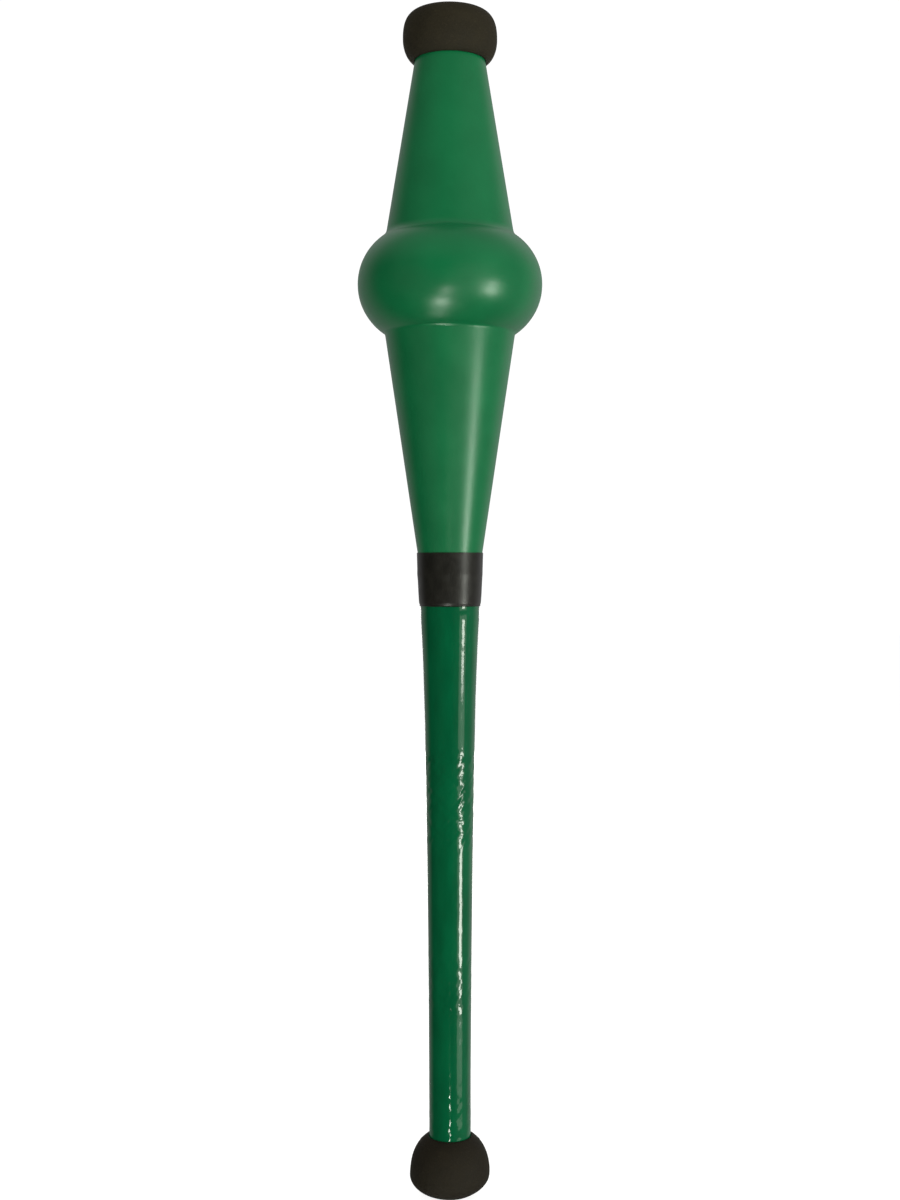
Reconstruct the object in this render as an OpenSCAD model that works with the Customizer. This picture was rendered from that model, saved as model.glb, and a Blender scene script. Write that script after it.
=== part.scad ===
// Juggling club, upright: knob at the bottom, crown at the top, axis along Z.
// A beech dowel carries a foam-padded, film-wrapped grip, a hollow blow-moulded
// body and a foam cap screwed on at each end. The origin is on the axis at the grip.
// All sizes are in millimetres. Most pieces are turned profiles of [radius, height].

/* [Body shell] */
// Widest radius of the bulge
bulge_r = 40.7; // [37:0.1:50]
// Height from the band's top edge to the middle of the bulge
lower_cone_h = 118.2; // [95:0.1:150]
// Height from the middle of the bulge to the shell's open top
upper_cone_h = 99.3; // [80:0.1:130]
// Radius at which both cones would meet inside the bulge
waist_r = 31.9; // [30:0.1:34]
// Radius of the shell where it leaves the band
neck_top_r = 14.3; // [13.8:0.1:16]
// Radius of the neck's lower end, which is also the top of the grip's padding
neck_end_r = 12.45; // [12:0.05:13.6]
// Radius of the shell's open top
shell_top_r = 15.5; // [14.5:0.1:17]
// Arc of the bulge's lower half
bulge_low_arc = 25.5; // [24:0.5:28]
// Arc of the bulge's upper half
bulge_high_arc = 25; // [24:0.5:28]
// Fillet between the bulge and the lower cone
low_fillet = 2; // [1:0.5:5]
// Fillet between the bulge and the upper cone
high_fillet = 5.5; // [2:0.5:7]
// Wall of the moulded shell
shell_wall = 2; // [1.2:0.1:2.4]

/* [Grip] */
// Length of the grip that shows between the knob and the band
grip_len = 232.4; // [180:0.1:290]
// Thickness of the padding at the knob
padding_wall = 1.25; // [0.8:0.05:2.5]
// Power of the slow flare over the whole grip
slow_flare = 1.8; // [1.5:0.1:3]
// Power of the quick flare just below the band
quick_flare = 9; // [6:1:14]
// Share of the widening that the quick flare gives
quick_share = 0.25; // [0:0.05:0.5]
// Thickness of the grip's film
film_wall = 0.35; // [0.2:0.05:0.6]
// Height of film tucked under the band
film_tuck = 14; // [8:0.5:18]

/* [Band] */
// Height of the tape band over the joint
band_h = 23.5; // [20:0.5:34]
// Thickness of the wound band
band_wall = 0.25; // [0.15:0.05:0.6]

/* [Knob] */
// Height of the foam knob
knob_h = 26.8; // [25:0.1:34]
// Radius of the foam knob
knob_r = 17.6; // [16:0.1:24]
// Height of the knob's widest circle above its bottom
knob_mid_h = 8.8; // [8:0.1:14]
// Height of the foam between the knob's foot and the dowel's lower end
knob_seat_h = 13; // [12:0.5:15]
// Height of the tape round the film's tail inside the knob
tail_tape_h = 9; // [6:0.5:10]
// Thickness of that tape
tail_tape_wall = 0.3; // [0.1:0.05:0.4]

/* [Crown] */
// Radius of the crown's foam cap
crown_r = 20.6; // [19.5:0.1:26]
// Height of the cap above the shell's open top
crown_h = 20.6; // [18:0.1:26]
// Height of the cap's widest circle above the shell's open top
crown_mid_h = 8.8; // [7:0.1:11]
// Height of the cap's lip below the shell's open top
crown_lip_h = 2.8; // [1:0.1:5]
// Radius of the cap's flat top
crown_flat_r = 12.9; // [10:0.1:13]
// Height of the plug's flange over the shell's open top
flange_h = 2; // [1.5:0.1:3]
// Height of the plug's skirt inside the shell
skirt_h = 12; // [8:0.5:20]
// Height of the wood web that closes the plug over the dowel
web_h = 4; // [3:0.5:6]

/* [Core and fasteners] */
// Radius of the beech dowel
dowel_r = 7.5; // [6.5:0.1:7.8]
// Chamfer of the dowel's ends
dowel_chamfer = 0.8; // [0.3:0.1:1.5]
// Height of the bush inside the neck
bush_h = 28; // [20:1:40]
// Height of the bush's collar under the neck
collar_h = 4; // [2:0.5:6]
// Radius of the screws over their threads
screw_r = 2.1; // [1.8:0.1:2.4]
// Length of the screws under their heads
screw_len = 35; // [28:1:38]
// Pitch of the screw threads
screw_pitch = 1.8; // [1.4:0.1:2.4]
// Radius of the screw heads
screw_head_r = 3.9; // [3.4:0.1:4.6]
// Height of the screw heads
screw_head_h = 2.4; // [2:0.1:3]
// Length of the crossed slots in the screw heads
slot_len = 4.6; // [3:0.1:5.5]
// Width of the slots
slot_w = 0.9; // [0.6:0.1:1.2]
// Radius of the washers
washer_r = 6.5; // [5.5:0.1:7]
// Thickness of the washers
washer_h = 1.2; // [0.8:0.1:2]
// Depth of the washer's seat below the crown's top
crown_recess_h = 8; // [6:0.1:10]
// Depth of the washer's seat above the knob's foot
knob_recess_h = 7; // [6:0.1:8]
// Number of tacks through the neck
tack_count = 3; // [2:1:4]
// Radius of the tack shanks
tack_r = 0.7; // [0.5:0.1:1]
// Radius of the tack heads
tack_head_r = 2.2; // [1.8:0.1:3]
// Thickness of the tack heads
tack_head_h = 0.5; // [0.3:0.1:0.6]
// Depth of the tack points in the dowel
tack_bite = 5; // [3:0.5:6.5]

/* [Clearances] */
// Gap between a wound layer and what it is wound on
wrap_gap = 0.05; // [0.02:0.01:0.1]
// Gap between a piece and the hole or socket that it fits
fit_gap = 0.1; // [0.05:0.01:0.2]

/* [Hidden] */
// Height of the frame's origin above the knob's foot
origin_h = 140;

// heights above the knob's foot, from bottom to top
screw_seat_low = knob_recess_h - washer_h;
band_z = knob_h + grip_len;
cone_z = band_z + band_h;
bulge_z = cone_z + lower_cone_h;
shell_top_z = bulge_z + upper_cone_h;
crown_seat_z = shell_top_z + flange_h;
crown_top_z = shell_top_z + crown_h;
screw_seat_high = crown_top_z - crown_recess_h + washer_h;
dowel_top_z = crown_seat_z - web_h;

// the joint between the grip and the body: how far the neck reaches below the band, the
// height of the tape's step off the film's edge, and the neck's radius at a height
neck_tuck = 2;
step_h = 2;
neck_z = band_z - neck_tuck;
collar_z = neck_z - collar_h;
film_top_z = band_z + film_tuck;
tack_z = band_z + film_tuck / 2;
function neck_r(z) = neck_end_r + (neck_top_r - neck_end_r) * (z - neck_z) / (cone_z - neck_z);

// the padding's flare, from the knob up to the bush's collar, and the film over it
grip_low_r = dowel_r + padding_wall;
function grip_t(z) = max(0, (z - knob_h) / (collar_z - knob_h));
function grip_mix(t) = (1 - quick_share) * pow(t, slow_flare) + quick_share * pow(t, quick_flare);
function grip_r(z) = grip_low_r + (neck_end_r - grip_low_r) * grip_mix(grip_t(z));
grip_steps = 24;
grip_zs = [for (i = [0:grip_steps]) knob_h + (collar_z - knob_h) * i / grip_steps];
film_in = wrap_gap;
film_out = wrap_gap + film_wall;

// the bulge: one arc for each half, and a fillet from each arc to its cone
function unit(v) = v / norm(v);
function outward(v) = [v[1], -v[0]];
function heading(v) = (atan2(v[1], v[0]) + 360) % 360;
function arc(c, r, a, b, steps) = [for (i = [0:steps])
    let (turn = a + (b - a) * i / steps) c + r * [cos(turn), sin(turn)]];
// centre of a fillet that touches the line from foot and the arc of radius reach - f about c
function fillet_centre(foot, along, f, c, reach, side) =
    let (base = foot + f * outward(along) - c, b = base * along)
    foot + f * outward(along) + (side * sqrt(b * b - base * base + reach * reach) - b) * along;
waist = [waist_r, bulge_z];
cone_low = [neck_top_r, cone_z];
cone_high = [shell_top_r, shell_top_z];
low_dir = unit(waist - cone_low);
high_dir = unit(cone_high - waist);
low_c = [bulge_r - bulge_low_arc, bulge_z];
high_c = [bulge_r - bulge_high_arc, bulge_z];
low_f = fillet_centre(cone_low, low_dir, low_fillet, low_c, bulge_low_arc + low_fillet, -1);
high_f = fillet_centre(cone_high, high_dir, high_fillet, high_c, bulge_high_arc + high_fillet, 1);
low_turn = [heading(-outward(low_dir)), heading(low_c - low_f)];
high_turn = [heading(high_c - high_f), heading(-outward(high_dir))];
bulge_steps = 16;
fillet_steps = 5;
// the shell's side from the band to its top, moved inward by d
function shell_side(d) = concat(
    [cone_low - d * outward(low_dir)],
    arc(low_f, low_fillet + d, low_turn[0], low_turn[1], fillet_steps),
    arc(low_c, bulge_low_arc - d, low_turn[1] - 180, 0, bulge_steps),
    arc(high_c, bulge_high_arc - d, 0, high_turn[0] - 180, bulge_steps),
    arc(high_f, high_fillet + d, high_turn[0], high_turn[1], fillet_steps),
    [cone_high - d * outward(high_dir)]);

// what closes the shell at both ends
high_slope = (shell_top_r - waist_r) / upper_cone_h;
low_slope = (waist_r - neck_top_r) / lower_cone_h;
mouth_r = shell_top_r - shell_wall * norm([1, high_slope]);
skirt_r = mouth_r - fit_gap;
skirt_chamfer = 1;
bush_top_z = neck_z + bush_h;
function neck_bore_r(z) = neck_r(z) - shell_wall - fit_gap;

// foam profiles: a quarter round about [r, z] with radii rr and rz, from angle a to b;
// a fullness of 2 is an ellipse, and more is squarer
foam_steps = 14;
function full(v, fullness) = sign(v) * pow(abs(v), 2 / fullness);
function swell(r, z, rr, rz, a, b, fullness) = [for (i = [0:foam_steps])
    let (turn = a + (b - a) * i / foam_steps)
    [r + rr * full(cos(turn), fullness), z + rz * full(sin(turn), fullness)]];
rim = 0.5;
recess_r = washer_r + rim;
screw_hole_r = screw_r + fit_gap;

// the knob: its socket over the film's tail, a mouth with a straight lip and a ramp down to
// the socket, and an outside that turns in to a narrow rim at the recess and at the mouth
socket_r = grip_low_r + film_out + tail_tape_wall + 2 * wrap_gap;
knob_mouth_r = grip_low_r + film_out + wrap_gap;
knob_low_full = 1.9;
knob_high_full = 2.3;
knob_foot_turn = acos(pow((recess_r + rim) / knob_r, knob_low_full / 2));
knob_close = acos(pow((knob_mouth_r + rim) / knob_r, knob_high_full / 2));
knob_drop = knob_mid_h / full(sin(knob_foot_turn), knob_low_full);
knob_rise = (knob_h - knob_mid_h) / full(sin(knob_close), knob_high_full);
tail_z = knob_seat_h + 1;
mouth_lip_h = 2;
mouth_ramp_h = 1;

// the crown: its widest circle, the roll below it down to the lip, and the lip's bore
crown_mid_z = shell_top_z + crown_mid_h;
crown_roll_r = 6.3;
crown_high_full = 2.6;
lip_z = shell_top_z - crown_lip_h;
cap_in_r = shell_top_r + fit_gap;
lip_in_r = cap_in_r - high_slope * crown_lip_h;
lip_turn = acos((lip_in_r + rim - crown_r + crown_roll_r) / crown_roll_r);
lip_drop = (crown_mid_z - lip_z) / sin(lip_turn);

// the underside of the tack heads, the overlap that joins each head to its shank, and how
// far a cut runs past the face that it opens
tack_face = neck_r(tack_z) - 2 * tack_head_h;
join = 0.01;
past = 1;

// a turned solid in the club's frame, from a closed outline of [radius, height]
module turned(outline) {
    translate([0, 0, -origin_h])
        rotate_extrude($fn = 96) polygon(outline);
}

// a round hole or pin of radius r, from height a to height b on the axis
module on_axis(r, a, b) {
    translate([0, 0, a - origin_h]) cylinder(r = r, h = b - a, $fn = 48);
}

// what repeats round the neck, one for each tack, pointing outward along X
module round_neck() {
    for (i = [0:tack_count - 1])
        rotate([0, 0, 360 * i / tack_count])
            translate([0, 0, tack_z - origin_h])
                rotate([0, 90, 0]) children();
}

// a tack grown by g on every radius, its head under the film
module tack(g) {
    translate([0, 0, dowel_r - tack_bite])
        cylinder(r = tack_r + g, h = tack_face - dowel_r + tack_bite + join, $fn = 24);
    translate([0, 0, tack_face]) cylinder(r = tack_head_r + g, h = tack_head_h, $fn = 36);
}

// the countersunk seat of a tack head, open to the outside
module tack_seat() {
    translate([0, 0, tack_face]) cylinder(r = tack_head_r + wrap_gap, h = 4 * tack_head_h, $fn = 36);
}

// a wood screw with its head's underside at height 0. Its thread is a row of rings: each one
// leaves the core at 0.45 of the pitch and is widest at 0.72
module screw() {
    core_r = screw_r * 0.7;
    plain_h = screw_len * 0.35;
    tip_h = 2 * screw_r;
    turns = floor((screw_len - plain_h - tip_h) / screw_pitch);
    thread_top = -plain_h;
    thread_end = thread_top - turns * screw_pitch;
    flanks = [for (i = [0:turns - 1]) each [
        [core_r, thread_top - i * screw_pitch],
        [core_r, thread_top - (i + 0.45) * screw_pitch],
        [screw_r, thread_top - (i + 0.72) * screw_pitch]]];
    dome = [for (i = [0:6]) [screw_head_r * cos(15 * i), screw_head_h * (0.35 + 0.65 * sin(15 * i))]];
    shank = concat([[0, -screw_len], [core_r, -screw_len + tip_h], [core_r, thread_end]],
        [for (i = [len(flanks) - 1:-1:0]) flanks[i]],
        [[screw_r, thread_top + screw_r - core_r], [screw_r, 0]]);
    difference() {
        rotate_extrude($fn = 48) polygon(concat(shank, [[screw_head_r, 0]], dome));
        for (a = [0, 90])
            rotate([0, 0, a])
                translate([-slot_len / 2, -slot_w / 2, screw_head_h * 0.4])
                    cube([slot_len, slot_w, screw_head_h]);
    }
}

// a flat ring washer from height a upward
module washer(a) {
    turned([[screw_hole_r, a], [washer_r, a], [washer_r, a + washer_h], [screw_hole_r, a + washer_h]]);
}

module core_dowel() {
    color("burlywood")
        difference() {
            turned([[0, knob_seat_h], [dowel_r - dowel_chamfer, knob_seat_h],
                [dowel_r, knob_seat_h + dowel_chamfer], [dowel_r, dowel_top_z - dowel_chamfer],
                [dowel_r - dowel_chamfer, dowel_top_z], [0, dowel_top_z]]);
            on_axis(screw_r + wrap_gap, knob_seat_h - past, screw_seat_low + screw_len + past);
            on_axis(screw_r + wrap_gap, screw_seat_high - screw_len - past, dowel_top_z + past);
            round_neck() tack(wrap_gap);
        }
}

module grip_padding() {
    inner = dowel_r + wrap_gap;
    color("dimgray")
        turned(concat([[inner, knob_seat_h], [grip_low_r, knob_seat_h]],
            [for (z = grip_zs) [grip_r(z), z]], [[inner, collar_z]]));
}

module grip_film() {
    neck_zs = [neck_z, film_top_z];
    inside = concat([[grip_low_r + film_in, knob_seat_h]], [for (z = grip_zs) [grip_r(z) + film_in, z]],
        [for (z = neck_zs) [neck_r(z) + film_in, z]]);
    outside = [for (p = inside) p + [film_wall, 0]];
    color([0.04, 0.38, 0.23])
        turned(concat(outside, [for (i = [len(inside) - 1:-1:0]) inside[i]]));
}

module film_tail_tape() {
    inner = grip_low_r + film_out + wrap_gap;
    color("ivory")
        turned([[inner, tail_z], [inner + tail_tape_wall, tail_z],
            [inner + tail_tape_wall, tail_z + tail_tape_h], [inner, tail_z + tail_tape_h]]);
}

module neck_bush() {
    bore = dowel_r + wrap_gap;
    high_bush_r = neck_bore_r(cone_z) + low_slope * (bush_top_z - cone_z);
    color("whitesmoke")
        difference() {
            turned([[bore, collar_z], [neck_end_r, collar_z], [neck_end_r, neck_z],
                [neck_bore_r(neck_z), neck_z], [neck_bore_r(cone_z), cone_z],
                [high_bush_r, bush_top_z], [bore, bush_top_z]]);
            round_neck() tack(wrap_gap);
        }
}

module neck_tacks() {
    color("silver") round_neck() tack(0);
}

module body_shell() {
    neck_in = [neck_end_r - shell_wall, neck_z];
    cone_in = [neck_top_r - shell_wall, cone_z];
    inside = shell_side(shell_wall);
    color([0.12, 0.42, 0.25])
        difference() {
            turned(concat([neck_in, [neck_end_r, neck_z]], shell_side(0), [[mouth_r, shell_top_z]],
                [for (i = [len(inside) - 2:-1:1]) inside[i]], [cone_in]));
            round_neck() tack(wrap_gap);
            round_neck() tack_seat();
        }
}

module joint_band() {
    film_over = film_out + wrap_gap;
    inside = [[neck_r(band_z) + film_over, band_z], [neck_r(film_top_z) + film_over, film_top_z],
        [neck_r(film_top_z + step_h) + wrap_gap, film_top_z + step_h], [neck_top_r + wrap_gap, cone_z]];
    outside = [for (p = inside) p + [band_wall, 0]];
    color([0.11, 0.11, 0.1])
        turned(concat(outside, [for (i = [len(inside) - 1:-1:0]) inside[i]]));
}

module crown_plug() {
    socket = dowel_r + fit_gap;
    skirt_z = shell_top_z - skirt_h;
    color("tan")
        turned([[screw_hole_r, dowel_top_z], [socket, dowel_top_z], [socket, skirt_z],
            [skirt_r - skirt_chamfer, skirt_z], [skirt_r, skirt_z + skirt_chamfer],
            [skirt_r, shell_top_z], [shell_top_r, shell_top_z], [shell_top_r, crown_seat_z],
            [screw_hole_r, crown_seat_z]]);
}

module crown_foam() {
    recess_z = crown_top_z - crown_recess_h;
    roll = swell(crown_r - crown_roll_r, crown_mid_z, crown_roll_r, lip_drop, -lip_turn, 0, 2);
    shoulder = swell(crown_flat_r, crown_mid_z, crown_r - crown_flat_r, crown_top_z - crown_mid_z,
        0, 90, crown_high_full);
    color([0.2, 0.18, 0.14])
        turned(concat([[cap_in_r, shell_top_z], [lip_in_r, lip_z]], roll, shoulder,
            [[recess_r, crown_top_z], [recess_r, recess_z], [screw_hole_r, recess_z],
            [screw_hole_r, crown_seat_z], [cap_in_r, crown_seat_z]]));
}

module crown_washer() {
    color("silver") washer(crown_top_z - crown_recess_h);
}

module crown_screw() {
    color("silver") translate([0, 0, screw_seat_high - origin_h]) screw();
}

module knob_foam() {
    color([0.19, 0.17, 0.13])
        turned(concat([[screw_hole_r, knob_recess_h], [recess_r, knob_recess_h], [recess_r, 0]],
            swell(0, knob_mid_h, knob_r, knob_drop, -knob_foot_turn, 0, knob_low_full),
            swell(0, knob_mid_h, knob_r, knob_rise, 4, knob_close, knob_high_full),
            [[knob_mouth_r, knob_h], [knob_mouth_r, knob_h - mouth_lip_h],
            [socket_r, knob_h - mouth_lip_h - mouth_ramp_h],
            [socket_r, knob_seat_h], [screw_hole_r, knob_seat_h]]));
}

module knob_washer() {
    color("silver") washer(knob_recess_h - washer_h);
}

module knob_screw() {
    color("silver") translate([0, 0, screw_seat_low - origin_h]) mirror([0, 0, 1]) screw();
}

core_dowel();
grip_padding();
grip_film();
film_tail_tape();
neck_bush();
neck_tacks();
body_shell();
joint_band();
crown_plug();
crown_foam();
crown_washer();
crown_screw();
knob_foam();
knob_washer();
knob_screw();
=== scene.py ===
"""The looks of a juggling club, laid out as an add-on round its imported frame.

The club stands upright on its knob, with its axis on Z and the origin on the axis at the grip.
Its surfaces are turned skins: a closed outline of [radius, height] carried once round the axis
and moved in or out by small waves, creases and lips that are functions of the turn and the
height. All sizes are in metres.
"""
import math

import bpy
import numpy as np
from bpy.props import FloatProperty, FloatVectorProperty, IntProperty, PointerProperty
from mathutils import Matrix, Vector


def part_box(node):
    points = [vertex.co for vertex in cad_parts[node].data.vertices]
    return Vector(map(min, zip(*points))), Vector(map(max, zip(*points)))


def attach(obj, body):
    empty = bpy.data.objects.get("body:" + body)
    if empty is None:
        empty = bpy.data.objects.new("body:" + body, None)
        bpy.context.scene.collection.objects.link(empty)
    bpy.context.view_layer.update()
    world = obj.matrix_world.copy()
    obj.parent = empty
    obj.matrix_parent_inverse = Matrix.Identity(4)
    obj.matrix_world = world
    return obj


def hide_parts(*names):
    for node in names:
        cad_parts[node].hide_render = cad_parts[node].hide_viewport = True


bl_info = {
    "name": "Juggling club",
    "version": (1, 0, 0),
    "blender": (4, 5, 0),
    "location": "3D View > Sidebar > Club",
    "description": "Builds a club's moulded body, wraps, foam ends and finishes",
    "category": "Add Mesh",
}

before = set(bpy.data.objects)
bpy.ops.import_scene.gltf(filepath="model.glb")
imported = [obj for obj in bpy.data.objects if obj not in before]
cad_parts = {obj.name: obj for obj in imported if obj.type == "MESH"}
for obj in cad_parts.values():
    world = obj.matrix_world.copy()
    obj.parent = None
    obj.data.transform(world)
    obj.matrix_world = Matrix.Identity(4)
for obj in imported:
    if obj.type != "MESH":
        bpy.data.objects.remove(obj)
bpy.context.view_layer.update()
MM = 0.001
TURN = 2 * math.pi

# Corners of a mesh whose heights differ by less than this lie on one ring.
SAME_RING = 0.02 * MM
# Rings whose radii differ by less than this are equally wide.
SAME_WIDTH = 0.002 * MM
# Points of an outline that are nearer together than this are one point.
SAME_POINT = 0.001 * MM

# Single creases in the grip's film, each with its angle about the axis, its height, its lean
# from the axis, its half length and its half width. Angles are in degrees, lengths in
# millimetres.
TUCKS = ((-60, 39.5, -27, 4.2, 0.45), (-66, 33.5, -25, 2.2, 0.40))
NICKS = ((-62, -10.5, -62, 2.2, 0.35), (-62, -22.5, 40, 1.5, 0.35))


# ---------------------------------------------------------------- places from the frame

def low(node):
    """The height of a node's lowest point."""
    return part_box(node)[0].z


def high(node):
    """The height of a node's highest point."""
    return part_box(node)[1].z


def node_points(node):
    """The radius and the height of every corner of a node's mesh."""
    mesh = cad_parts[node].data
    flat = np.empty(len(mesh.vertices) * 3)
    mesh.vertices.foreach_get("co", flat)
    x, y, z = flat.reshape(-1, 3).T
    return np.hypot(x, y), z


def radius_at(node, z, inner=False):
    """A node's outer, or inner, radius at the ring of corners nearest to height z."""
    radius, height = node_points(node)
    nearest = np.abs(height - z).min()
    ring = radius[np.abs(height - z) < nearest + SAME_RING]
    return float(ring.min() if inner else ring.max())


def widest(node):
    """The radius and the height of a node's widest ring."""
    radius, height = node_points(node)
    return float(radius.max()), float(height[radius > radius.max() - SAME_WIDTH].mean())


# ---------------------------------------------------------------- sizes and colours

def length(name, description, millimetres):
    """A property that holds a length."""
    return FloatProperty(name=name, description=description, default=millimetres * MM, unit="LENGTH")


def share(name, description, value):
    """A property that holds a plain number."""
    return FloatProperty(name=name, description=description, default=value)


def count(name, description, value):
    """A property that holds a whole number."""
    return IntProperty(name=name, description=description, default=value, min=3)


def colour(name, description, red, green, blue):
    """A property that holds a linear colour."""
    return FloatVectorProperty(name=name, description=description, default=(red, green, blue),
                               subtype="COLOR", size=3, min=0.0, max=1.0)


class BodySizes(bpy.types.PropertyGroup):
    """The moulded body: two cones that would meet inside a bulge of two arcs."""
    waist: length("Waist radius", "Radius at which both cones would meet inside the bulge", 31.9)
    low_arc: length("Lower arc", "Radius of the arc below the bulge's middle", 25.5)
    high_arc: length("Upper arc", "Radius of the arc above the bulge's middle", 25.0)
    low_fillet: length("Lower fillet", "Fillet between the bulge and the lower cone", 2.0)
    high_fillet: length("Upper fillet", "Fillet between the bulge and the upper cone", 5.5)
    wall: length("Wall", "Thickness of the moulded wall", 2.0)
    parting_height: length("Parting line", "Height of the mould's parting line", 0.05)
    parting_width: length("Parting width", "Half width of the parting line", 0.22)
    waviness: length("Waviness", "Largest wave in the moulded wall", 0.05)
    columns: count("Columns", "Columns round the body", 256)


class GripSizes(bpy.types.PropertyGroup):
    """The padded grip and the film wound on it."""
    slow_flare: share("Slow flare", "Power of the flare over the whole grip", 1.8)
    quick_flare: share("Quick flare", "Power of the flare just below the band", 9.0)
    quick_share: share("Quick share", "Share of the widening given by the quick flare", 0.25)
    gap: length("Gap", "Gap between one wound layer and the next", 0.05)
    lap_step: length("Lap step", "Height of the film's free edge over the turn below", 0.12)
    lap_turn: share("Lap turn", "Angle of the film's free edge about the axis, in degrees", -48.0)
    lap_width: share("Lap width", "Angle over which the film overlaps itself, in degrees", 50.0)
    slack: length("Slack", "Largest slow wave in the film", 0.06)
    crumple: length("Crumple", "Depth of the facets in the crumpled film", 0.21)
    tuck: length("Tuck", "Height of the slanting tucks in the film", 0.13)
    bead: length("Bead", "Height of the row of beads under the tucks", 0.05)
    coarse: length("Coarse rows", "Height between rows where the film is smooth", 0.95)
    fine: length("Fine rows", "Height between rows where the film is crumpled", 0.38)
    columns: count("Columns", "Columns round the grip", 196)


class BandSizes(bpy.types.PropertyGroup):
    """The tape wound over the joint between the grip and the body."""
    lip: length("Lip", "Height over which the lower edge curls in to the film", 1.7)
    curl: length("Curl", "How far the lower edge curls in", 0.55)
    ridge: length("Ridge", "Height of the ridge over the film's upper edge", 0.06)
    ridge_half: length("Ridge half height", "Half height of that ridge along the axis", 1.8)
    tape_end_turn: share("Tape end", "Angle of the tape's free end about the axis, in degrees", 118.0)
    waviness: length("Waviness", "Largest wave in the tape", 0.07)
    columns: count("Columns", "Columns round the band", 224)


class FoamSizes(bpy.types.PropertyGroup):
    """The foam cap and knob."""
    flat: length("Flat top", "Radius of the cap's flat top", 12.9)
    roll: length("Roll", "Radius of the roll below the cap's widest ring", 6.3)
    cap_full: share("Cap fullness", "Fullness of the cap's shoulder; 2 is round, more is squarer", 2.6)
    low_full: share("Knob lower fullness", "Fullness of the knob's lower half", 1.9)
    high_full: share("Knob upper fullness", "Fullness of the knob's upper half", 2.3)
    rim: length("Rim", "Width of the narrow rims at the mouths and recesses", 0.5)
    softness: length("Softness", "How far the foam's corners are rounded", 0.45)
    lumps: length("Lumps", "Largest lump in the foam's skin", 0.16)
    cap_tilt: share("Cap tilt", "Slope of the cap across the club", 0.011)
    knob_lean: length("Knob lean", "Sideways lean of the knob's foot", 0.6)
    puff: length("Puff", "How far the cap swells past its moulded size", 0.25)
    lip_rise: length("Lip rise", "How far the cap's lip rolls up from its lowest line", 1.7)
    knob_sink: length("Knob sink", "How far the knob's mouth is pressed down by the film", 0.8)
    columns: count("Columns", "Columns round each foam piece", 240)


class Colours(bpy.types.PropertyGroup):
    """The colours of the finishes, as linear values."""
    body: colour("Body", "Green of the moulded body", 0.0030, 0.150, 0.050)
    film: colour("Film", "Green of the grip's film", 0.0015, 0.098, 0.037)
    band: colour("Band", "Black of the joint's tape", 0.012, 0.011, 0.009)
    cap: colour("Cap", "Warm black of the cap's foam", 0.021, 0.0166, 0.0088)
    knob: colour("Knob", "Warm black of the knob's foam", 0.0125, 0.0095, 0.0052)
    padding: colour("Padding", "Grey of the grip's padding", 0.075, 0.076, 0.080)
    tail_tape: colour("Tail tape", "Cream of the tape round the film's tail", 0.62, 0.52, 0.34)
    core: colour("Core", "Beech of the dowel", 0.50, 0.29, 0.14)
    plug: colour("Plug", "Birch of the plug", 0.60, 0.42, 0.23)
    bush: colour("Bush", "White of the nylon bush", 0.66, 0.65, 0.60)
    steel: colour("Steel", "Zinc on the screws, washers and tacks", 0.60, 0.61, 0.62)
    floor: colour("Floor", "Pale floor", 0.40, 0.40, 0.395)


class ClubSettings(bpy.types.PropertyGroup):
    """Everything that a user would change."""
    body: PointerProperty(type=BodySizes)
    grip: PointerProperty(type=GripSizes)
    band: PointerProperty(type=BandSizes)
    foam: PointerProperty(type=FoamSizes)
    colours: PointerProperty(type=Colours)


def settings():
    """The club's settings on the current scene."""
    return bpy.context.scene.club


# ---------------------------------------------------------------- outlines

def arc(centre, radius, first, last, steps):
    """Points on an arc about centre, from the angle first to the angle last, in radians."""
    turn = np.linspace(first, last, steps)
    return np.stack([centre[0] + radius * np.cos(turn), centre[1] + radius * np.sin(turn)], axis=1)


def line(start, end, spacing):
    """Points from start to end, about spacing apart, both ends included."""
    start = np.asarray(start, float)
    end = np.asarray(end, float)
    steps = max(2, int(round(np.linalg.norm(end - start) / spacing)) + 1)
    return start + (end - start) * np.linspace(0, 1, steps)[:, None]


def joined(*stretches):
    """One outline from several stretches, without the points that repeat."""
    points = np.concatenate(stretches)
    step = np.linalg.norm(points - np.roll(points, 1, axis=0), axis=1)
    return points[step > SAME_POINT]


def spaced(outline, spacing, closed=True):
    """The same outline with its points about spacing apart along its length."""
    if closed:
        outline = np.concatenate([outline, outline[:1]])
    run = np.concatenate([[0], np.cumsum(np.linalg.norm(np.diff(outline, axis=0), axis=1))])
    steps = int(round(run[-1] / spacing))
    along = np.linspace(0, run[-1], steps, endpoint=not closed)
    return np.stack([np.interp(along, run, outline[:, axis]) for axis in (0, 1)], axis=1)


def softened(outline, reach, spacing):
    """A closed outline with its corners rounded: each point becomes the average of its
    neighbours, weighted by a bell curve of half width reach along the outline."""
    cut_off = 3
    half = int(math.ceil(cut_off * reach / spacing))
    offsets = np.arange(-half, half + 1)
    weights = np.exp(-0.5 * (offsets * spacing / reach) ** 2)
    weights /= weights.sum()
    return sum(w * np.roll(outline, -k, axis=0) for k, w in zip(offsets, weights))


def full(value, fullness):
    """A sine or cosine raised to 2 / fullness with its sign kept: 2 leaves it round."""
    return np.sign(value) * np.abs(value) ** (2 / fullness)


def swell(centre, reach, first, last, fullness, steps):
    """A quarter round with radii reach about centre, from the angle first to the angle last."""
    turn = np.linspace(first, last, steps)
    return np.stack([centre[0] + reach[0] * full(np.cos(turn), fullness),
                     centre[1] + reach[1] * full(np.sin(turn), fullness)], axis=1)


# ---------------------------------------------------------------- waves and creases

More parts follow.
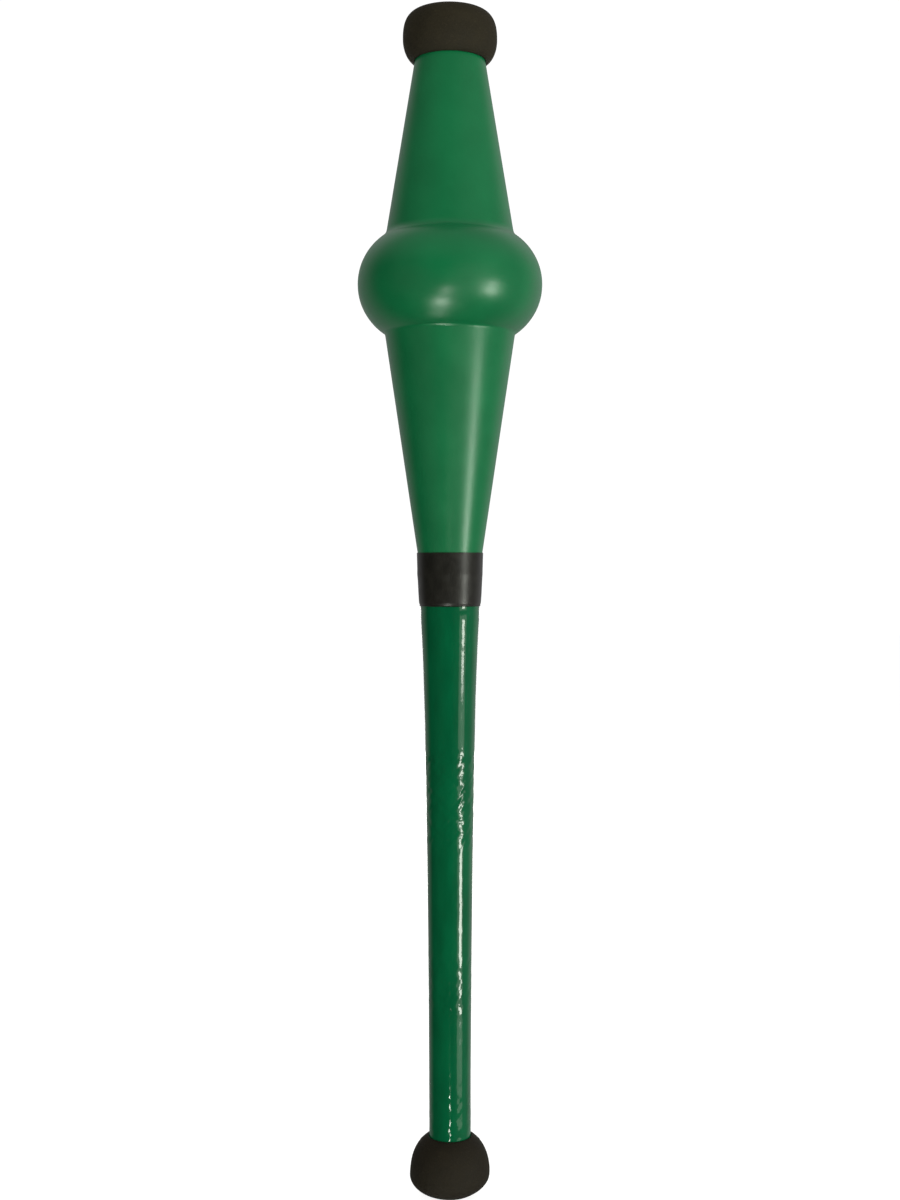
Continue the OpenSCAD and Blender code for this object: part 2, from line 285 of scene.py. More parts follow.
def smooth_step(value, first, last):
    """0 before first, 1 after last, and a smooth S between them."""
    t = np.clip((value - first) / (last - first), 0, 1)
    return t * t * (3 - 2 * t)


def bell(value, half_width):
    """A bell curve of height 1 about 0."""
    return np.exp(-(value / half_width) ** 2)


def turned_by(turn, degrees):
    """The angle from degrees to turn, between minus and plus half a turn."""
    return (turn - math.radians(degrees) + math.pi) % TURN - math.pi


def waves(turn, run, seed, rounds, shortest, number=12):
    """A sum of cosine waves, about -1 to 1. Each has a whole number of rounds about the axis,
    so it closes at the seam, a wavelength of shortest or more along the run, and a random
    phase."""
    draw = np.random.default_rng(seed)
    total = np.zeros(np.broadcast(turn, run).shape)
    for _ in range(number):
        about = draw.integers(-rounds, rounds + 1)
        along = draw.uniform(-1, 1) * TURN / shortest
        total += np.cos(about * turn + along * run + draw.uniform(0, TURN))
    return total / math.sqrt(2 * number)


def crease(turn, run, radius, place, lean, size):
    """One straight crease of height 1 at place = (degrees, height): a bell across its line that
    fades at its ends. lean is its angle from the axis; size = (half length, half width)."""
    across = radius * turned_by(turn, place[0])
    along = run - place[1]
    slant = math.radians(lean)
    over = across * math.cos(slant) + along * math.sin(slant)
    down = along * math.cos(slant) - across * math.sin(slant)
    return bell(over, size[1]) * bell(down, size[0])


def folds(turn, run, seed, rounds, shortest, number):
    """A sum of folded cosines less their average, about -1 to 1: smooth facets that meet in
    sharp valleys, as in crumpled film. Each has a whole number of rounds about the axis, so it
    closes at the seam, and a wavelength of 1 to 2.5 times shortest along the run."""
    average = 2 / math.pi
    draw = np.random.default_rng(seed)
    total = np.zeros(np.broadcast(turn, run).shape)
    for _ in range(number):
        about = draw.integers(rounds // 2, rounds + 1) * draw.choice([-1, 1])
        along = draw.uniform(0.4, 1) * TURN / shortest
        phase = draw.uniform(0, TURN)
        total += np.abs(np.cos(about * turn + along * run + phase)) - average
    return total * 2 / number


# ---------------------------------------------------------------- skins

def crowded(columns, degrees, times, strength):
    """The angles of the columns round a piece, from degrees through one full turn. They crowd
    together at that angle and at times - 1 more, evenly spaced: the angle is the even angle
    less strength times its sine."""
    even = np.linspace(0, TURN, columns + 1)
    return math.radians(degrees) + even - strength * np.sin(times * even) / times


def outline_normals(outline):
    """The outward direction at each point of a closed outline that runs up its outside."""
    along = np.roll(outline, -1, axis=0) - np.roll(outline, 1, axis=0)
    normal = np.stack([along[:, 1], -along[:, 0]], axis=1)
    return normal / np.linalg.norm(normal, axis=1)[:, None]


def turned_points(outline, turn, lift):
    """The grid of a turned skin: each point of the outline, moved out along the outline's own
    normal by lift, carried round the axis through the angles in turn. lift is a full grid."""
    normal = outline_normals(outline)
    radius = outline[:, 0, None] + normal[:, 0, None] * lift
    height = outline[:, 1, None] + normal[:, 1, None] * lift
    return np.stack([radius * np.cos(turn), radius * np.sin(turn), height], axis=-1)


def skin(name, points, turn, outline, finish, crease_angle=40):
    """A mesh object from a grid of rings and columns that closes both ways. The UV map holds
    the way round the piece and the way along its outline, both in metres."""
    rings, columns = points.shape[:2]
    corner = np.arange(rings * columns).reshape(rings, columns)
    right = np.roll(corner, -1, axis=1)
    above = np.roll(corner, -1, axis=0)
    above_right = np.roll(above, -1, axis=1)
    faces = np.stack([corner, right, above_right, above], axis=-1).reshape(-1, 4)
    mesh = bpy.data.meshes.new(name)
    mesh.vertices.add(rings * columns)
    mesh.vertices.foreach_set("co", points.astype(np.float32).ravel())
    mesh.loops.add(faces.size)
    mesh.loops.foreach_set("vertex_index", faces.astype(np.int32).ravel())
    mesh.polygons.add(len(faces))
    mesh.polygons.foreach_set("loop_start", np.arange(0, faces.size, 4, dtype=np.int32))
    mesh.polygons.foreach_set("use_smooth", np.ones(len(faces), bool))
    mesh.update(calc_edges=True)
    mesh.validate()
    mesh.set_sharp_from_angle(angle=math.radians(crease_angle))
    closed = np.concatenate([outline, outline[:1]])
    run = np.concatenate([[0], np.cumsum(np.linalg.norm(np.diff(closed, axis=0), axis=1))])
    way = (turn - turn[0]) * outline[:, 0].max()
    u = np.stack([way[:-1], way[1:], way[1:], way[:-1]], axis=-1)
    u = u[None].repeat(rings, axis=0)
    v = np.stack([run[:-1], run[:-1], run[1:], run[1:]], axis=-1)
    v = v[:, None].repeat(columns, axis=1)
    layer = mesh.uv_layers.new(name="wrap")
    layer.uv.foreach_set("vector", np.stack([u, v], axis=-1).astype(np.float32).ravel())
    mesh.materials.append(finish)
    piece = bpy.data.objects.new(name, mesh)
    bpy.context.scene.collection.objects.link(piece)
    return piece


def stand_in(piece, node):
    """Fixes a finished piece to the club in place of its CAD node."""
    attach(piece, "root")
    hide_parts(node)
    return piece


# ---------------------------------------------------------------- finishes

class Finish:
    """A material with one Principled shader, and short calls that add nodes to it."""

    def __init__(self, name, base, roughness, **constants):
        self.material = bpy.data.materials.new(name)
        self.material.use_nodes = True
        self.tree = self.material.node_tree
        self.shader = self.tree.nodes["Principled BSDF"]
        self.shader.inputs["Base Color"].default_value = (*base, 1)
        self.shader.inputs["Roughness"].default_value = roughness
        for socket, value in constants.items():
            self.shader.inputs[socket.replace("_", " ")].default_value = value
        self.place = self.node("ShaderNodeTexCoord").outputs["Object"]

    def node(self, kind, links=(), **values):
        """A new node with its plain settings and its linked or fixed inputs."""
        made = self.tree.nodes.new(kind)
        for key, value in values.items():
            setattr(made, key, value)
        for socket, value in dict(links).items():
            if isinstance(value, bpy.types.NodeSocket):
                self.tree.links.new(value, made.inputs[socket])
            else:
                made.inputs[socket].default_value = value
        return made

    def stretched(self, x, y, z):
        """The place, scaled along each axis. A scale below 1 draws the pattern out."""
        made = self.node("ShaderNodeMapping", {"Vector": self.place, "Scale": (x, y, z)})
        return made.outputs["Vector"]

    def noise(self, grain, detail=3.0, rough=0.5, place=None, warp=0.0):
        """Soft noise with features about grain long."""
        return self.node("ShaderNodeTexNoise", {
            "Vector": place or self.place, "Scale": 1 / grain, "Detail": detail,
            "Roughness": rough, "Distortion": warp}).outputs["Fac"]

    def cells(self, size):
        """The distance to the nearest of many scattered points about size apart."""
        made = self.node("ShaderNodeTexVoronoi", {"Vector": self.place, "Scale": 1 / size})
        return made.outputs["Distance"]

    def between(self, value, first, last, low=0.0, high=1.0):
        """The value carried from the range first..last to the range low..high."""
        return self.node("ShaderNodeMapRange", {
            "Value": value, "From Min": first, "From Max": last, "To Min": low,
            "To Max": high}).outputs["Result"]

    def blend(self, factor, first, second):
        """A colour between two others."""
        made = self.node("ShaderNodeMix", data_type="RGBA")
        sockets = {"Factor_Float": factor, "A_Color": first, "B_Color": second}
        for socket in made.inputs:
            value = sockets.get(socket.identifier)
            if isinstance(value, bpy.types.NodeSocket):
                self.tree.links.new(value, socket)
            elif value is not None:
                socket.default_value = (*value, 1) if hasattr(value, "__len__") else value
        return next(s for s in made.outputs if s.identifier == "Result_Color")

    def paint(self, colour_value):
        """Gives the surface a colour that varies."""
        self.tree.links.new(colour_value, self.shader.inputs["Base Color"])

    def mottle(self, value, first, last, base, dark, light):
        """Paints base times dark where value is first, base times light where it is last."""
        mix = self.between(value, first, last)
        self.paint(self.blend(mix, shade(base, dark), shade(base, light)))

    def polish(self, value):
        """Gives the surface a roughness that varies."""
        self.tree.links.new(value, self.shader.inputs["Roughness"])

    def emboss(self, value, depth):
        """Raises the surface by value times depth, over any relief given before."""
        links = {"Height": value, "Distance": depth}
        before = self.shader.inputs["Normal"].links
        if before:
            links["Normal"] = before[0].from_socket
        made = self.node("ShaderNodeBump", links)
        self.tree.links.new(made.outputs["Normal"], self.shader.inputs["Normal"])


def shade(base, factor):
    """A colour made lighter or darker by a factor."""
    return tuple(min(1.0, channel * factor) for channel in base)


def moulded_plastic(name, base):
    """Blow-moulded polyethylene with a satin skin: faint flow clouds, a fine orange peel, dull
    patches where hands and floors have rubbed, and a few hairline scuffs."""
    finish = Finish(name, base, 0.30, IOR=1.5)
    clouds = finish.noise(18 * MM, detail=4)
    finish.mottle(clouds, 0.35, 0.7, base, 0.93, 1.07)
    rubbed = finish.noise(9 * MM, detail=5, rough=0.6)
    finish.polish(finish.between(rubbed, 0.4, 0.75, 0.28, 0.33))
    finish.emboss(finish.noise(1.1 * MM, detail=2), 0.006 * MM)
    scuffs = finish.noise(0.5 * MM, detail=2, place=finish.stretched(1, 1, 0.12))
    finish.emboss(finish.between(scuffs, 0.66, 0.72), 0.002 * MM)
    return finish.material


def glossy_film(name, base):
    """Thin glossy film drawn tight over foam: slight thickness clouds, and fine crinkles."""
    finish = Finish(name, base, 0.07, IOR=1.5)
    clouds = finish.noise(6 * MM, detail=3, place=finish.stretched(1, 1, 0.25))
    finish.mottle(clouds, 0.3, 0.7, base, 0.86, 1.12)
    finish.polish(finish.between(finish.noise(4 * MM, detail=4), 0.3, 0.75, 0.05, 0.09))
    crinkles = finish.noise(1.6 * MM, detail=3, place=finish.stretched(1, 1, 0.5))
    finish.emboss(crinkles, 0.02 * MM)
    return finish.material


def vinyl_tape(name, base, roughness):
    """Stretched tape: low sheen, cloudy colour, a fine grain, and faint lines round the club."""
    finish = Finish(name, base, roughness, IOR=1.48)
    clouds = finish.noise(5 * MM, detail=4)
    finish.mottle(clouds, 0.35, 0.7, base, 0.8, 1.3)
    spread = 0.05
    rubbed = finish.noise(3 * MM, detail=4)
    finish.polish(finish.between(rubbed, 0.3, 0.7, roughness - spread, roughness + spread))
    finish.emboss(finish.noise(0.35 * MM, detail=2), 0.008 * MM)
    stretch_lines = finish.noise(2.5 * MM, detail=2, place=finish.stretched(0.3, 0.3, 1))
    finish.emboss(stretch_lines, 0.02 * MM)
    return finish.material


def skinned_foam(name, base, pore):
    """Moulded foam rubber: matte, with closed pores in its skin and faint cloudy bloom."""
    finish = Finish(name, base, 0.80, IOR=1.4, Specular_IOR_Level=0.35)
    bloom = finish.noise(7 * MM, detail=5, rough=0.6)
    speck = finish.noise(0.5 * MM, detail=2)
    mottled = finish.blend(finish.between(bloom, 0.35, 0.7), shade(base, 0.85), shade(base, 1.15))
    finish.paint(finish.blend(finish.between(speck, 0.6, 0.8), mottled, shade(base, 1.8)))
    finish.polish(finish.between(bloom, 0.3, 0.7, 0.74, 0.86))
    finish.emboss(finish.cells(pore), 0.05 * MM)
    finish.emboss(finish.noise(1.4 * MM, detail=4), 0.08 * MM)
    return finish.material


def open_foam(name, base):
    """Soft open foam, full of small round cells."""
    finish = Finish(name, base, 0.9)
    cells = finish.cells(0.7 * MM)
    finish.mottle(cells, 0.1, 0.5, base, 0.55, 1.2)
    finish.emboss(cells, 0.2 * MM)
    return finish.material


def turned_wood(name, base, ring):
    """Wood with its grain along Z: growth rings cut by the turned surface, and short flecks."""
    finish = Finish(name, base, 0.55)
    along_grain = finish.stretched(1, 1, 0.04)
    grain = finish.noise(ring, detail=5, rough=0.6, place=along_grain, warp=0.6)
    fleck = finish.noise(0.35 * MM, detail=2, place=finish.stretched(1, 1, 0.12))
    wood = finish.blend(finish.between(grain, 0.35, 0.7), shade(base, 1.12), shade(base, 0.72))
    finish.paint(finish.blend(finish.between(fleck, 0.6, 0.72, 0, 0.6), wood, shade(base, 0.45)))
    finish.polish(finish.between(grain, 0.3, 0.7, 0.5, 0.66))
    finish.emboss(fleck, 0.03 * MM)
    return finish.material


def moulded_nylon(name, base):
    """Natural nylon, slightly waxy, with faint flow marks."""
    finish = Finish(name, base, 0.42, Subsurface_Weight=0.15, Subsurface_Scale=1 * MM)
    flow = finish.noise(3 * MM, detail=4, place=finish.stretched(1, 1, 0.4))
    finish.mottle(flow, 0.3, 0.7, base, 0.93, 1.04)
    finish.emboss(flow, 0.01 * MM)
    return finish.material


def zinc_steel(name, base):
    """Zinc plated steel: bright, slightly cloudy, with fine turning marks."""
    finish = Finish(name, base, 0.3, Metallic=1.0)
    clouds = finish.noise(1.5 * MM, detail=4)
    finish.mottle(clouds, 0.3, 0.7, base, 0.82, 1.1)
    finish.polish(finish.between(clouds, 0.3, 0.75, 0.22, 0.42))
    finish.emboss(finish.noise(0.12 * MM, detail=2), 0.004 * MM)
    return finish.material


# ---------------------------------------------------------------- the moulded body

def body_side(sizes, inset, steps):
    """The body's side above the band, moved inward by inset: a cone, a fillet, an arc below and
    an arc above the widest ring, a fillet and a cone. Each fillet touches its cone and its arc."""
    bulge, middle = widest("body_shell")
    bottom = np.array([radius_at("body_shell", high("joint_band")), high("joint_band")])
    top = np.array([radius_at("body_shell", high("body_shell")), high("body_shell")])
    waist = np.array([sizes.waist, middle])
    stretches = []
    halves = ((bottom, waist - bottom, sizes.low_arc, sizes.low_fillet, -1),
              (top, top - waist, sizes.high_arc, sizes.high_fillet, 1))
    for foot, slope, arc_radius, fillet, side in halves:
        slope = slope / np.linalg.norm(slope)
        out = np.array([slope[1], -slope[0]])
        arc_centre = np.array([bulge - arc_radius, middle])
        base = foot + fillet * out - arc_centre
        slant = base @ slope
        reach = arc_radius + fillet
        travel = side * math.sqrt(slant ** 2 - base @ base + reach ** 2) - slant
        centre = foot + fillet * out + travel * slope
        to_cone = math.atan2(-out[1], -out[0]) % TURN
        to_arc = math.atan2(*(arc_centre - centre)[::-1]) % TURN
        stretches.append([foot - inset * out,
                          arc(centre, fillet + inset, to_cone, to_arc, steps // 4),
                          arc(arc_centre, arc_radius - inset, to_arc - math.pi, 0, steps)])
    (low_foot, low_round, low_bulge), (high_foot, high_round, high_bulge) = stretches
    spacing = sizes.low_arc / steps * 2
    return joined(line(low_foot, low_round[0], spacing), low_round, low_bulge,
                  high_bulge[::-1], high_round[::-1], line(high_round[0], high_foot, spacing))


def body_outline(sizes):
    """The body's closed outline: up the neck and the side, and down the inner wall. The wall's
    last straight stretch is drawn on to the height of the open top."""
    neck_z = low("body_shell")
    neck_r = radius_at("body_shell", neck_z)
    outer = body_side(sizes, inset=0, steps=48)
    inner = body_side(sizes, inset=sizes.wall, steps=16)
    last = inner[-1] - inner[-2]
    mouth = inner[-1] + last * (outer[-1, 1] - inner[-1, 1]) / last[1]
    neck = line((neck_r, neck_z), outer[0], spacing=2 * MM)
    return joined(neck, outer, mouth[None], inner[-2:0:-1],
                  [[outer[0, 0] - sizes.wall, outer[0, 1]]], [[neck_r - sizes.wall, neck_z]])


class CLUB_OT_moulded_body(bpy.types.Operator):
    """Builds the hollow moulded body with its bulge, its wall and its parting line"""
    bl_idname = "club.moulded_body"
    bl_label = "Moulded body"

    def execute(self, context):
        club = settings()
        outline = body_outline(club.body)
        turn = crowded(club.body.columns, degrees=0, times=2, strength=0.75)
        around = turn[:-1]
        height = outline[:, 1, None]
        band_top = high("joint_band")
        clear = smooth_step(height, band_top, band_top + 3 * MM)
        # The parting line is a bell of the distance from the plane through the body's left and
        # right sides. It and the slow waves start above the band.
        parting = club.body.parting_height * bell(
            outline[:, 0, None] * np.sin(around), club.body.parting_width)
        outside = (outline_normals(outline)[:, :1] > 0)
        wave = waves(around, height, seed=3, rounds=4, shortest=60 * MM)
        lift = clear * outside * (parting + club.body.waviness * 0.5 * wave)
        points = turned_points(outline, around, lift)
        finish = moulded_plastic("satin_green_polyethylene", club.colours.body)
        piece = skin("moulded_body", points, turn, outline, finish)
        stand_in(piece, "body_shell")
        return {"FINISHED"}


# ---------------------------------------------------------------- the grip

def grip_flare(sizes, z):
    """The padding's radius at height z: from the knob to the collar it widens by a mix of a
    slow power and a quick power of the share of the way up. Above the collar it is the neck."""
    start = high("knob_foam")
    collar = high("grip_padding")
    slim = radius_at("grip_padding", low("grip_padding"))
    wide = radius_at("grip_padding", collar)
    way = np.clip((z - start) / (collar - start), 0, 1)
    quick = sizes.quick_share
    mix = (1 - quick) * way ** sizes.slow_flare + quick * way ** sizes.quick_flare
    neck_low = low("body_shell")
    neck_high = high("joint_band")
    widening = (radius_at("body_shell", neck_high) - wide) / (neck_high - neck_low)
    return slim + (wide - slim) * mix + widening * np.clip(z - neck_low, 0, None)


def crumpling(z):
    """How crumpled the film is at height z, from 0 to 1, by straight lines between a few
    heights: most in the grip's upper half, less in its middle, and least just above the knob
    and just below the band."""
    heights = [-127, -116, -95, -88, -62, -56, -36, -30, 10, 17, 52, 60, 96, 112, 135]
    amounts = [0, 0.35, 0.30, 0.10, 0.10, 0.55, 0.45, 0.12, 0.14, 1, 1, 0.06, 0.06, 0.15, 0]
    return np.interp(z, np.array(heights) * MM, amounts)


def slack_lift(sizes, turn, z):
    """How far the film stands off its plain shape: slow slack waves, and a soft rise where it
    overlaps itself that ends in the free edge's step. Both fade out in the knob and the band."""
    knob = high("knob_foam")
    band = low("joint_band")
    shown = smooth_step(z, knob + 0.2 * MM, knob + 3 * MM)
    shown = shown * (1 - smooth_step(z, band - 3 * MM, band - 0.5 * MM))
    past_edge = turned_by(turn, sizes.lap_turn)
    grip_r = 10.5 * MM
    wander = 0.3 * MM * waves(0 * turn, z, seed=5, rounds=1, shortest=40 * MM, number=6) / grip_r
    overlap = math.radians(sizes.lap_width)
    lap = smooth_step(past_edge, wander - overlap, wander - 0.3 * overlap) * (past_edge < wander)
    slack = sizes.slack * 0.5 * waves(turn, z, seed=11, rounds=3, shortest=26 * MM, number=16)
    return shown * (sizes.lap_step * lap + slack)


def crumple_lift(sizes, turn, z):
    """The film's crumples: folded facets where it is crumpled, two slanting tucks, a row of
    beads that are a cosine of the height, and two nicks lower down."""
    grip_r = 10 * MM
    large = folds(turn, z, seed=21, rounds=7, shortest=11 * MM, number=3)
    small = folds(turn, z, seed=44, rounds=12, shortest=5 * MM, number=3)
    lift = sizes.crumple * 0.6 * crumpling(z) * (large + 0.5 * small)
    for depth, places in ((sizes.tuck, TUCKS), (-0.6 * sizes.tuck, NICKS)):
        for degrees, height, lean, half_length, half_width in places:
            size = (half_length * MM, half_width * MM)
            lift = lift + depth * crease(turn, z, grip_r, (degrees, height * MM), lean, size)
    bead_turn = -67
    bead_spread = 12
    bead_pitch = 2.2 * MM
    row = bell(turned_by(turn, bead_turn), math.radians(bead_spread))
    row = row * smooth_step(z, 17 * MM, 19 * MM)
    row = row * (1 - smooth_step(z, 29 * MM, 31 * MM))
    return lift + sizes.bead * row * np.cos(TURN * z / bead_pitch)


def uneven_rows(sizes, bottom, top):
    """Heights from bottom to top: fine steps where the film is crumpled, coarse ones elsewhere."""
    samples = 2000
    busy_from = 0.25
    z = np.linspace(bottom, top, samples)
    busy = (crumpling(z) > busy_from) & (z > high("knob_foam") - 1 * MM)
    density = np.where(busy, 1 / sizes.fine, 1 / sizes.coarse)
    rows = np.cumsum(density) * (top - bottom) / samples
    return np.interp(np.linspace(rows[0], rows[-1], int(rows[-1])), rows, z)


def sleeve(sizes, name, node, finish, skin_in, skin_out, crumpled):
    """A closed sleeve on the grip, from skin_in to skin_out off the padding's plain shape, or
    from a plain bore where skin_in is None. Only a crumpled sleeve has crumples, on its
    outside."""
    bottom = low(node)
    top = high(node)
    even_rows = 150
    inner_rows = 48
    z = uneven_rows(sizes, bottom, top) if crumpled else np.linspace(bottom, top, even_rows)
    outer = np.stack([grip_flare(sizes, z) + skin_out, z], axis=1)
    inner_z = np.linspace(top, bottom, inner_rows)
    if skin_in is None:
        inner_r = np.full_like(inner_z, radius_at(node, bottom, inner=True))
    else:
        inner_r = grip_flare(sizes, inner_z) + skin_in
    outline = joined(outer, np.stack([inner_r, inner_z], axis=1))
    turn = crowded(sizes.columns, sizes.lap_turn, times=1, strength=0.6)
    around = turn[:-1]
    level = outline[:, 1, None]
    outside = (outline_normals(outline)[:, :1] > 0)
    slack = slack_lift(sizes, around, level)
    if skin_in is None:
        lift = slack * outside
    else:
        crumples = crumpled * crumple_lift(sizes, around, level)
        lift = np.where(outside, slack + crumples, -slack)
    points = turned_points(outline, around, lift)
    piece = skin(name, points, turn, outline, finish, crease_angle=35)
    return stand_in(piece, node)


class CLUB_OT_grip_film(bpy.types.Operator):
    """Winds the glossy film round the grip, with its lapped edge and its crinkles"""
    bl_idname = "club.grip_film"
    bl_label = "Grip film"

    def execute(self, context):
        club = settings()
        foot = low("grip_film")
        wall = radius_at("grip_film", foot) - radius_at("grip_film", foot, inner=True)
        gap = club.grip.gap
        finish = glossy_film("glossy_green_film", club.colours.film)
        sleeve(club.grip, "grip_wrap", "grip_film", finish, gap, gap + wall, crumpled=True)
        return {"FINISHED"}


class CLUB_OT_grip_padding(bpy.types.Operator):
    """Builds the foam padding under the film, which follows the film's slack"""
    bl_idname = "club.grip_padding"
    bl_label = "Grip padding"

    def execute(self, context):
        club = settings()
        finish = open_foam("grey_padding_foam", club.colours.padding)
        piece = sleeve(club.grip, "grip_sleeve", "grip_padding", finish,
                       skin_in=None, skin_out=0, crumpled=False)
        return {"FINISHED"}


# ---------------------------------------------------------------- the tapes

class CLUB_OT_joint_band(bpy.types.Operator):
    """Winds the black tape over the joint, with its ridge, its curled lip and its free end"""
    bl_idname = "club.joint_band"
    bl_label = "Joint band"

    def execute(self, context):
        club = settings()
        sizes = club.band
        bottom = low("joint_band")
        top = high("joint_band")
        film_top = high("grip_film")
        height = node_points("joint_band")[1]
        rows = np.unique(np.round(height, 6))
        inner_r = np.array([radius_at("joint_band", z, inner=True) for z in rows])
        # The outer radius runs straight between the band's own rings at its foot, at the film's
        # top and at its top, and tightens towards the film's top. The lift adds a lip that
        # curls in at the foot, a ridge that is a bell about the film's top, a step where the
        # tape ends, and waves.
        rings = 110
        tightening = 0.38
        z = np.linspace(bottom, top, rings)
        ends = np.array([bottom, film_top, top])
        outer_r = np.interp(z, ends, [radius_at("joint_band", end) for end in ends])
        outer_r = outer_r + 0.5 * sizes.curl
        outer_r -= tightening * sizes.curl * smooth_step(z, bottom + 3 * MM, film_top)
        outer = np.stack([outer_r, z], axis=1)
        inner = np.stack([np.interp(z[::-3], rows, inner_r), z[::-3]], axis=1)
        outline = joined(outer, inner)
        turn = crowded(sizes.columns, sizes.tape_end_turn, times=1, strength=0.7)
        around = turn[:-1]
        level = outline[:, 1, None]
        lip = -0.5 * sizes.curl * (1 - smooth_step(level, bottom, bottom + sizes.lip))
        ridge = sizes.ridge * bell(level - film_top, sizes.ridge_half)
        ridge = ridge * (1 + 0.5 * np.cos(around - math.pi))
        past_end = turned_by(around, sizes.tape_end_turn)
        tape_step = 0.13 * MM
        tape_end = tape_step * smooth_step(past_end, -0.9, -0.2) * (past_end < 0)
        wave = waves(around, level, seed=17, rounds=3, shortest=20 * MM, number=14)
        wave = sizes.waviness * 0.5 * wave
        outside = outline_normals(outline)[:, :1] > 0
        clear = smooth_step(level, bottom, bottom + 1 * MM)
        clear = clear * (1 - smooth_step(level, top - 0.6 * MM, top))
        lift = outside * (ridge + lip + tape_end + clear * wave)
        points = turned_points(outline, around, lift)
        finish = vinyl_tape("black_vinyl_tape", club.colours.band, 0.34)
        piece = skin("joint_tape", points, turn, outline, finish)
        stand_in(piece, "joint_band")
        return {"FINISHED"}


class CLUB_OT_tail_tape(bpy.types.Operator):
    """Winds the cream tape round the film's tail inside the knob"""
    bl_idname = "club.tail_tape"
    bl_label = "Tail tape"

    def execute(self, context):
        club = settings()
        bottom = low("film_tail_tape")
        top = high("film_tail_tape")
        inner_r = radius_at("film_tail_tape", bottom, inner=True)
        outer_r = radius_at("film_tail_tape", bottom)
        # Two plain walls, with a step outside where the tape ends.
        rings = 20
        columns = 96
        tape_end_turn = 40
        tape_step = 0.04 * MM
        tightness = 0.03 * MM
        z = np.linspace(bottom, top, rings)
        outline = joined(np.stack([np.full_like(z, outer_r), z], axis=1),
                         np.stack([np.full_like(z, inner_r), z[::-1]], axis=1))
        turn = crowded(columns, tape_end_turn, times=1, strength=0.7)
        around = turn[:-1]
        past_end = turned_by(around, tape_end_turn)
        lap = tape_step * smooth_step(past_end, -2.2, -1.2) * (past_end < 0)
        lift = (outline_normals(outline)[:, :1] > 0) * (lap - tightness)
        points = turned_points(outline, around, lift)
        finish = vinyl_tape("cream_paper_tape", club.colours.tail_tape, 0.7)
        piece = skin("tail_wrap", points, turn, outline, finish)
        stand_in(piece, "film_tail_tape")
        return {"FINISHED"}


# ---------------------------------------------------------------- the foam ends

def cap_outline(sizes):
    """The cap's closed outline: the lip's bore, a round roll out to the widest ring, a squarer
    shoulder to the flat top, the screw's recess, and the seat over the plug."""
    wide, middle = widest("crown_foam")
    wide += sizes.puff
    lip_z = low("crown_foam") + sizes.lip_rise
    top = high("crown_foam")
    lip_r = radius_at("crown_foam", lip_z, inner=True)
    bore = radius_at("crown_plug", high("crown_plug"), inner=True)
    seat_z = high("crown_plug")
    mouth_z = high("body_shell")
    mouth_r = radius_at("crown_foam", mouth_z, inner=True)
    recess_z = low("crown_washer")
    recess_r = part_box("crown_washer")[1].x + sizes.rim
    lip_turn = math.acos((lip_r + sizes.rim - wide + sizes.roll) / sizes.roll)
    drop = (middle - lip_z) / math.sin(lip_turn)
    roll = swell((wide - sizes.roll, middle), (sizes.roll, drop), -lip_turn, 0, fullness=2, steps=40)
    shoulder = swell((sizes.flat, middle), (wide - sizes.flat, top - middle), 0, math.pi / 2,
                     sizes.cap_full, steps=60)
    return joined([[mouth_r, mouth_z], [lip_r, lip_z]], roll, shoulder,
                  [[recess_r, top], [recess_r, recess_z], [bore, recess_z], [bore, seat_z],
                   [mouth_r, seat_z]])


def knob_outline(sizes):
    """The knob's closed outline: the screw's recess, a round lower half, a fuller upper half that
    closes on the grip, the mouth, and the socket over the film's tail."""
    wide, middle = widest("knob_foam")
    foot = low("knob_foam")
    top = high("knob_foam") - sizes.knob_sink
    seat = low("core_dowel")
    recess_z = high("knob_washer")
    recess_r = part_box("knob_washer")[1].x + sizes.rim
    bore = radius_at("knob_foam", recess_z, inner=True)
    mouth = radius_at("knob_foam", high("knob_foam"), inner=True)
    socket = radius_at("knob_foam", high("film_tail_tape"), inner=True)
    foot_turn = math.acos(((recess_r + sizes.rim) / wide) ** (sizes.low_full / 2))
    close = math.acos(((mouth + sizes.rim) / wide) ** (sizes.high_full / 2))
    drop = (middle - foot) / full(math.sin(foot_turn), sizes.low_full)
    rise = (top - middle) / full(math.sin(close), sizes.high_full)
    lower = swell((0, middle), (wide, drop), -foot_turn, 0, sizes.low_full, steps=60)
    upper = swell((0, middle), (wide, rise), 0, close, sizes.high_full, steps=60)
    lip = 2 * MM
    return joined([[bore, recess_z], [recess_r, recess_z], [recess_r, foot]], lower, upper,
                  [[mouth, top], [mouth, top - lip], [socket, top - 1.5 * lip], [socket, seat],
                   [bore, seat]])


def foam_piece(sizes, name, node, outline, finish, seed, lean):
    """A foam piece from its outline: corners softened, shallow lumps on the skin that shows,
    and a lean, which is a function from the grid's points to the same points moved. Its
    columns are evenly spaced."""
    spacing = 0.45 * MM
    outline = softened(spaced(outline, spacing), sizes.softness, spacing)
    turn = crowded(sizes.columns, degrees=0, times=1, strength=0)
    around = turn[:-1]
    radius = outline[:, 0, None]
    wide, middle = widest(node)
    inner = radius_at(node, middle, inner=True)
    outside = outline_normals(outline)[:, :1] > -0.5
    skin_share = smooth_step(radius, 0.5 * wide, 0.75 * wide) * outside
    skin_share = skin_share * (radius > inner + 1.5 * MM)
    run = outline[:, 1, None] + 0.6 * radius
    lumps = waves(around, run, seed, rounds=5, shortest=12 * MM, number=20)
    lift = sizes.lumps * 0.5 * skin_share * lumps
    points = lean(turned_points(outline, around, lift))
    piece = skin(name, points, turn, outline, finish, crease_angle=60)
    stand_in(piece, node)


